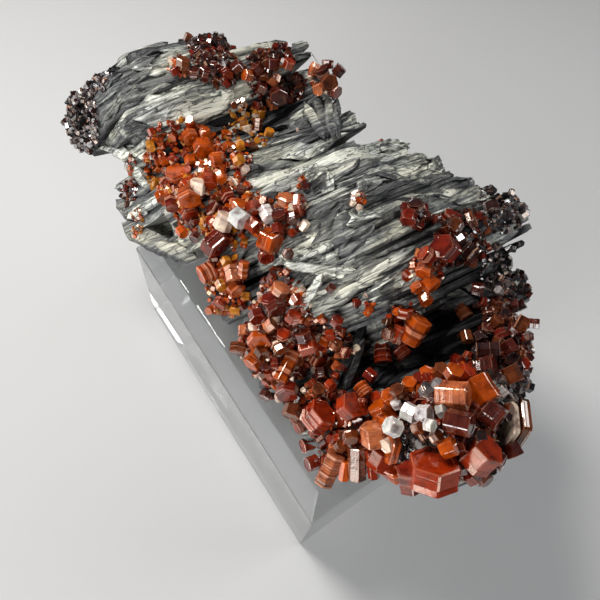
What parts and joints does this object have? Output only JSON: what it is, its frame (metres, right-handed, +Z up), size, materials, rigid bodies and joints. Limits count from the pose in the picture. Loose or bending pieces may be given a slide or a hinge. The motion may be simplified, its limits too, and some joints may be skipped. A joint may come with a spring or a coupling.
{
  "type": "vanadinite on barite specimen with display block",
  "caption": "Hexagonal red-orange vanadinite crystals grown over a long grey barite mass of stacked plates, resting on a clear bevelled display block.",
  "frame": {"origin": "centre of the display block's underside", "axes": "+X along the block's long side towards the specimen's red crest, +Y across it towards the high back edge of the specimen, +Z up"},
  "size_m": [0.1411, 0.078, 0.0882],
  "materials": {
    "display_block": "clear polished acrylic with bevelled upper edges",
    "barite": "grey to cream plates on edge, dark between them, satin with a pearly sheen",
    "vanadinite": "red-orange to brown hexagonal crystals, resinous gloss, striated sides"
  },
  "bodies": {
    "root": {"barite_matrix": "barite", "display_block": "display_block", "vanadinite_back_crust": "vanadinite", "vanadinite_belt": "vanadinite", "vanadinite_bottom": "vanadinite", "vanadinite_cluster_1": "vanadinite", "vanadinite_cluster_2": "vanadinite", "vanadinite_cluster_3": "vanadinite", "vanadinite_cluster_4": "vanadinite", "vanadinite_crest": "vanadinite", "vanadinite_far_top": "vanadinite", "vanadinite_knob": "vanadinite", "vanadinite_lower_left": "vanadinite", "vanadinite_middle": "vanadinite", "vanadinite_ridge": "vanadinite", "vanadinite_right": "vanadinite", "vanadinite_upper_right": "vanadinite"}
  },
  "joints": []
}
